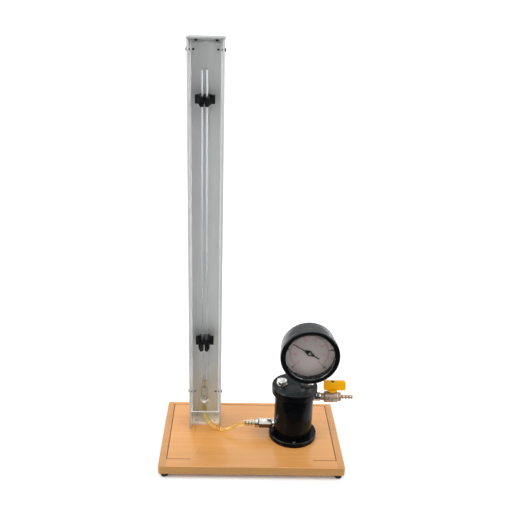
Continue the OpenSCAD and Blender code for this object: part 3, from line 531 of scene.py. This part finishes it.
# ------------------------------------------------------------------ column
CX, CY, CZ = P(-92.7, 117.6, 0)


# faces of index 2 are the inner side walls, which get the painted-light copy
def channel_pick(poly):
    c, n = poly.center, poly.normal
    if abs(c.x - CX) < 0.0285 and n.y < -0.7:
        return 1
    if abs(c.x - CX) < 0.0290 and abs(n.x) > 0.7:
        return 2
    return 0


def cover_pick(poly):
    c, n = poly.center, poly.normal
    if n.z < -0.7 or (n.y > 0.7 and c.y > CY + 0.012):
        return 1
    return 1 if abs(n.x) > 0.7 and abs(c.x - CX) > 0.0245 else 0


refine("column_channel", [M["column_out"], M["column_in"], M["column_side"]], width=0.35, seg=2, pick=channel_pick)
refine("column_foot_plate", [M["column_in"]], width=0.4, seg=2)
refine("top_cap", [M["cap_metal"]], width=0.4, seg=2)
refine("front_cover", [M["acrylic"], M["acrylic_edge"]], width=0.35, seg=2, pick=cover_pick)
refine("upper_clip", [M["clip"]], width=0.55, seg=3)
refine("lower_clip", [M["clip"]], width=0.55, seg=3)

# glass tube: closed dome, straight bore, nozzle
tube = [(3, 62), (5, 62, 0.6), (5, 81, 1.5), (7, 84.5, 1.5)]
for k in range(0, 13):
    a = math.pi / 2 * k / 12
    tube.append((7 * math.cos(a), 698 + 7 * math.sin(a)))
for k in range(12, -1, -1):
    a = math.pi / 2 * k / 12
    tube.append((4 * math.cos(a), 698 + 4 * math.sin(a)))
tube += [(4, 91, 1.0), (3, 88, 1.0)]
tube[16] = (0, 705)
tube[17] = (0, 702)
TX, TY, TZ = P(-95, 145, 0)


def highlight_line_pick(c, n):
    """two bright lines along the front of the tube, fading downwards: painted highlights standing in for the glass's
    refraction highlights
    """
    dx, dy = c.x - TX, c.y - TY
    r = math.hypot(dx, dy)
    if r > 0.0066 and 0.44 < abs(dx) / r < 0.74 and abs(n.z) < 0.5 and dy < 0:
        return 1 if dx > 0 else 2
    return 0


glass_tube = lathe("glass_tube_body", tube, (-95, 145, 0), "z", [M["glass"], M["highlight_line_white"], M["highlight_line_blue"]], seg=72, slot="glass",
                   replaces=("glass_tube",), sharp=40)
for q in glass_tube.data.polygons:
    q.material_index = highlight_line_pick(q.center, q.normal)
oilcol = [(0, 62.2), (2.95, 62.2), (2.95, 88.2), (3.97, 91.2), (3.97, 99), (3.6, 98.2), (2.4, 97.5), (0, 97.3)]
lathe("tube_oil", oilcol, (-95, 145, 0), "z", [M["oil"]], seg=48, slot="hose_clear")
lathe("sleeve_body", [(5.1, 83.7, 0.3), (6.75, 83.7, 0.5), (6.75, 60, 0), (6.75, 44, 0.5), (6.0, 44, 0.2), (6.0, 57), (5.1, 57.01)], (-95, 145, 0), "z",
      [M["sleeve"]], seg=64, slot="sleeve_clear", replaces=("tube_sleeve",))
refine("hose_tie", [M["tie"]], width=0.3, seg=2)

# graduations printed on the glass: short arcs on the front of the tube
verts, faces = [], []


def arc_mark(z, a0, a1, h=0.4, r0=6.99, r1=7.035, n=5):
    o = len(verts)
    for k in range(n + 1):
        a = math.radians(a0 + (a1 - a0) * k / n)
        for r, zz in ((r0, z), (r1, z), (r1, z + h), (r0, z + h)):
            verts.append(P(-95 + r * math.cos(a), 145 + r * math.sin(a), zz))
    for k in range(n):
        b = o + 4 * k
        for j in range(4):
            j2 = (j + 1) % 4
            faces.append((b + j, b + j2, b + 4 + j2, b + 4 + j))
    faces.append((o, o + 1, o + 2, o + 3))
    e = o + 4 * n
    faces.append((e + 3, e + 2, e + 1, e))


z = 110
while z <= 690:
    k = round((z - 110) / 5)
    a1 = -42 if k % 10 == 0 else (-55 if k % 2 == 0 else -64)
    arc_mark(z, -82, a1)
    z += 5
piece("tube_scale", verts, faces, [M["scale_ink"]], slot="glass", sharp=60)

# ------------------------------------------------------------------ hose fitting
# barb flanks and the hex facets that do not face up get the painted shade copy
refine("hose_barb", [M["nickel_fit"], M["nickel_painted_shade"]], width=0.12, seg=2, pick=lambda q: 1 if abs(q.normal.x) > 0.12 else 0)
refine("hose_fitting_hex", [M["nickel_fit"], M["nickel_painted_shade"]], width=0.25, seg=2, pick=lambda q: 1 if q.normal.z < 0.6 and abs(q.normal.x) < 0.5 else 0)
refine("hose_fitting_washer", [M["nickel"]], width=0.3, seg=2)

# ------------------------------------------------------------------ reservoir
def rim_pick(poly):
    return 1 if 0.25 < poly.normal.z < 0.93 else 0


refine("reservoir_flange", [M["black_metal"], M["black_rim"]], width=0.45, seg=3, angle=20, pick=rim_pick)
refine("reservoir_body", [M["black_metal"]], width=0.3, seg=2)
# the cap's top face gets the painted-sheen copy
refine("reservoir_cap", [M["black_metal"], M["black_rim"], M["black_top"]], width=0.5, seg=3, angle=20, pick=lambda q: 2 if q.normal.z >= 0.93 else rim_pick(q))
dress("cap_gasket", M["gasket"])
refine("filler_plug", [M["nickel"]], width=0.2, seg=2)
dress("filler_seal", M["fibre"])

# ------------------------------------------------------------------ gauge
GX, GZ = 106, 190.6
refine("gauge_socket", [M["nickel"]], width=0.2, seg=2)
dress("gauge_seal", M["fibre"])
refine("gauge_case", [M["case_black"]], width=0.3, seg=2)
bezel = [(46.5, 3.4), (46.5, 2.1, 0.4), (47.4, 0.9, 0.6), (49.2, 0.15, 0.6), (51, 0, 0.8), (54.2, 0.25, 1.4), (55.9, 1.3, 0.9), (56.5, 3.2, 1.0), (56.5, 7.4, 0.3), (56.0, 7.8, 0.25),
         (56.0, 8.6, 0.25), (56.5, 9.0, 0.3), (56.5, 13.5, 0.6), (55.8, 14.7, 0.4), (53.3, 14.9), (53.3, 3.4)]
lathe("bezel_ring", bezel, (GX, 73.5, GZ), "y", [M["gauge_black"]], seg=160, n=5, slot="gauge_black", replaces=("gauge_bezel",), sharp=40)
refine("gauge_lens", [M["lens"]], width=0.3, seg=2)
dress("gauge_dial", M["dial"])
dress("pointer_arbor", M["hub"])
refine("gauge_pointer", [M["pointer"]], width=0.1, seg=1)
for n in ("movement_plates", "sector_gear", "movement_link", "bourdon_tube", "bourdon_tip", "valve_stem"):
    dress(n, M["brass"])

# dial print: plain numbers and ticks, a black outer scale and a red inner one
verts, faces, index = [], [], []


def tick(a, r0, r1, w, mat, y=94.2):
    ca, sa = math.cos(math.radians(a)), math.sin(math.radians(a))
    o = len(verts)
    for dy in (0.0, -0.05):
        for r, s in ((r0, -1), (r1, -1), (r1, 1), (r0, 1)):
            verts.append(P(GX + r * ca - s * w / 2 * sa, y + dy, GZ + r * sa + s * w / 2 * ca))
    faces.extend(box_faces(o))
    index.extend([mat] * 6)


def arc(a0, a1, r0, r1, mat, step=1.5, y=94.2):
    n = max(1, round(abs(a1 - a0) / step))
    for i in range(n):
        p, q = a0 + (a1 - a0) * i / n, a0 + (a1 - a0) * (i + 1) / n
        o = len(verts)
        for dy in (0.0, -0.04):
            for r, a in ((r0, p), (r1, p), (r1, q), (r0, q)):
                verts.append(P(GX + r * math.cos(math.radians(a)), y + dy, GZ + r * math.sin(math.radians(a))))
        faces.extend(box_faces(o))
        index.extend([mat] * 6)


def words(s, size, x, z, mat, y=94.16):
    cu = bpy.data.curves.new("number", "FONT")
    cu.body, cu.size, cu.align_x, cu.align_y, cu.extrude, cu.resolution_u = s, size / 1000, "CENTER", "CENTER", 0.00002, 4
    cu.offset = size * 0.000035
    ob = bpy.data.objects.new("number", cu)
    link(ob)
    dg = bpy.context.evaluated_depsgraph_get()
    me = bpy.data.meshes.new_from_object(ob.evaluated_get(dg))
    o = len(verts)
    base = P(x, y, z)
    for v in me.vertices:
        verts.append(base + Vector((v.co.x, -v.co.z, v.co.y)))
    for p in me.polygons:
        faces.append(tuple(o + i for i in p.vertices))
        index.append(mat)
    bpy.data.objects.remove(ob)
    bpy.data.curves.remove(cu)
    bpy.data.meshes.remove(me)


arc(225, -45, 34.85, 35.15, 0)
for i in range(51):
    a = 225 - 270 * i / 50
    big = i % 10 == 0
    tick(a, 35.0, 39.6 if big else (38.6 if i % 5 == 0 else 37.4), 1.1 if big else (0.7 if i % 5 == 0 else 0.5), 0)
for i in range(6):
    a = math.radians(225 - 54 * i)
    words(str(i * 10), 6.2, GX + 42.2 * math.cos(a), GZ + 42.2 * math.sin(a), 0)
for i in range(36):
    a = 225 - 270 * i / 35
    big = i % 5 == 0
    tick(a, 31.2 if big else 32.8, 34.6, 1.0 if big else 0.45, 1)
for i in range(8):
    a = math.radians(225 - 270 * i / 7)
    words(("%.1f" % (i * 0.5)) if i % 2 else str(i // 2), 4.6, GX + 27.0 * math.cos(a), GZ + 27.2 * math.sin(a), 1)
piece("dial_print", verts, faces, [M["ink"], M["ink_red"]], slot="dial_face", sharp=30, index=index)

# ------------------------------------------------------------------ valve
refine("valve_nipple", [M["nickel"]], width=0.2, seg=2)
refine("valve_body", [M["valve_brass"]], width=0.3, seg=3, angle=20)
dress("valve_seats", M["ptfe"])
dress("valve_ball", M["nickel"])
dress("packing_nut", M["valve_brass"])
refine("valve_handle", [M["handle"]], width=0.8, seg=3)
refine("pump_barb", [M["valve_brass"]], width=0.12, seg=2)

# ------------------------------------------------------------------ floor, light
bpy.ops.mesh.primitive_plane_add(size=2400, location=(0, 600, 0))
floor = bpy.context.object
floor.name = "floor"
fm = Mat("floor_white", (0.95, 0.95, 0.95), 0.75, Specular_IOR_Level=0.0)
fm.vary(0.004, 1.5)
floor.data.materials.append(fm.m)

# a dark card on the floor in front of the set: only gloss sees it, as in a studio
bpy.ops.mesh.primitive_plane_add(size=1, location=(0, -20.14, 0.001))
card = bpy.context.object
card.name = "front_card"
card.scale = (40, 40, 1)
card.data.materials.append(Mat("card_black", (0.02, 0.02, 0.02), 0.9, Specular_IOR_Level=0.0).vary(0.02, 2).m)
card.visible_camera = card.visible_diffuse = card.visible_transmission = card.visible_shadow = card.visible_volume_scatter = False

# two bright cards high at the left and right: only gloss sees them
for nm, loc, power in (("bright_card_left", (-1.7, -0.9, 1.3), 4.5), ("bright_card_right", (1.6, -0.7, 1.6), 4.5)):
    bpy.ops.mesh.primitive_plane_add(size=1, location=loc)
    bc = bpy.context.object
    bc.name = nm
    bc.scale = (0.9, 1.5, 1)
    bc.rotation_euler = (Vector((0, 0, 0.25)) - Vector(loc)).to_track_quat("Z", "Y").to_euler()
    bc.data.materials.append(Mat(nm, (0.02, 0.02, 0.02), 0.9, Specular_IOR_Level=0.0, Emission_Color=(1, 1, 1, 1), Emission_Strength=power).vary(0.02, 2).m)
    bc.visible_camera = bc.visible_diffuse = bc.visible_transmission = bc.visible_shadow = bc.visible_volume_scatter = False

world = bpy.data.worlds.new("studio")
scene.world = world
world.use_nodes = True
wt = world.node_tree
bg = wt.nodes["Background"]
tc = wt.nodes.new("ShaderNodeTexCoord")
sep = wt.nodes.new("ShaderNodeSeparateXYZ")
wt.links.new(tc.outputs["Generated"], sep.inputs[0])


def wmap(sock, a, b, lo, hi):
    m = wt.nodes.new("ShaderNodeMapRange")
    m.interpolation_type = "SMOOTHSTEP"
    for k, v in (("From Min", a), ("From Max", b), ("To Min", lo), ("To Max", hi)):
        m.inputs[k].default_value = v
    wt.links.new(sock, m.inputs["Value"])
    return m.outputs["Result"]


def wmul(a, b, op="MULTIPLY"):
    m = wt.nodes.new("ShaderNodeMath")
    m.operation = op
    wt.links.new(a, m.inputs[0])
    wt.links.new(b, m.inputs[1])
    return m.outputs[0]


low = wmap(sep.outputs["Z"], 0.02, 0.07, 1.1, 0.7)
up = wmap(sep.outputs["Z"], 0.25, 0.6, 0.0, 0.6)
front = wmap(sep.outputs["Y"], -0.85, -0.2, 0.2, 1.0)
high = wmap(sep.outputs["Z"], 0.3, 0.6, 0.0, 1.0)
side = wmul(wmap(sep.outputs["X"], 0.5, 0.82, 0.0, 1.1), wmap(sep.outputs["X"], -0.82, -0.5, 0.8, 0.0), "ADD")
mask = wmul(front, high, "MAXIMUM")
# what the camera sees straight past the floor is plain white from every side
seen = wt.nodes.new("ShaderNodeLightPath")
pick_white = wt.nodes.new("ShaderNodeMix")
pick_white.data_type = "FLOAT"
wt.links.new(seen.outputs["Is Camera Ray"], pick_white.inputs["Factor"])
wt.links.new(wmul(wmul(wmul(low, up, "ADD"), mask), side, "ADD"), pick_white.inputs["A"])
pick_white.inputs["B"].default_value = 1.1
wt.links.new(pick_white.outputs["Result"], bg.inputs["Strength"])
bg.inputs["Color"].default_value = (0.97, 0.985, 1.0, 1)


def area(name, loc, target, size, size_y, power, color=(1, 1, 1)):
    d = bpy.data.lights.new(name, "AREA")
    d.shape = "RECTANGLE"
    d.size, d.size_y, d.energy, d.color = size, size_y, power, color
    o = bpy.data.objects.new(name, d)
    o.location = loc
    o.rotation_euler = (Vector(target) - Vector(loc)).to_track_quat("-Z", "Y").to_euler()
    link(o)
    return o


area("strip_left", (-1.3, -0.75, 1.35), (0.0, 0.0, 0.25), 0.08, 1.0, 6)
area("strip_right", (1.35, -0.6, 1.25), (0.0, 0.0, 0.25), 0.07, 1.0, 4.5)
area("top_soft", (0.1, -0.1, 2.3), (0.0, 0.0, 0.0), 1.5, 1.2, 7)
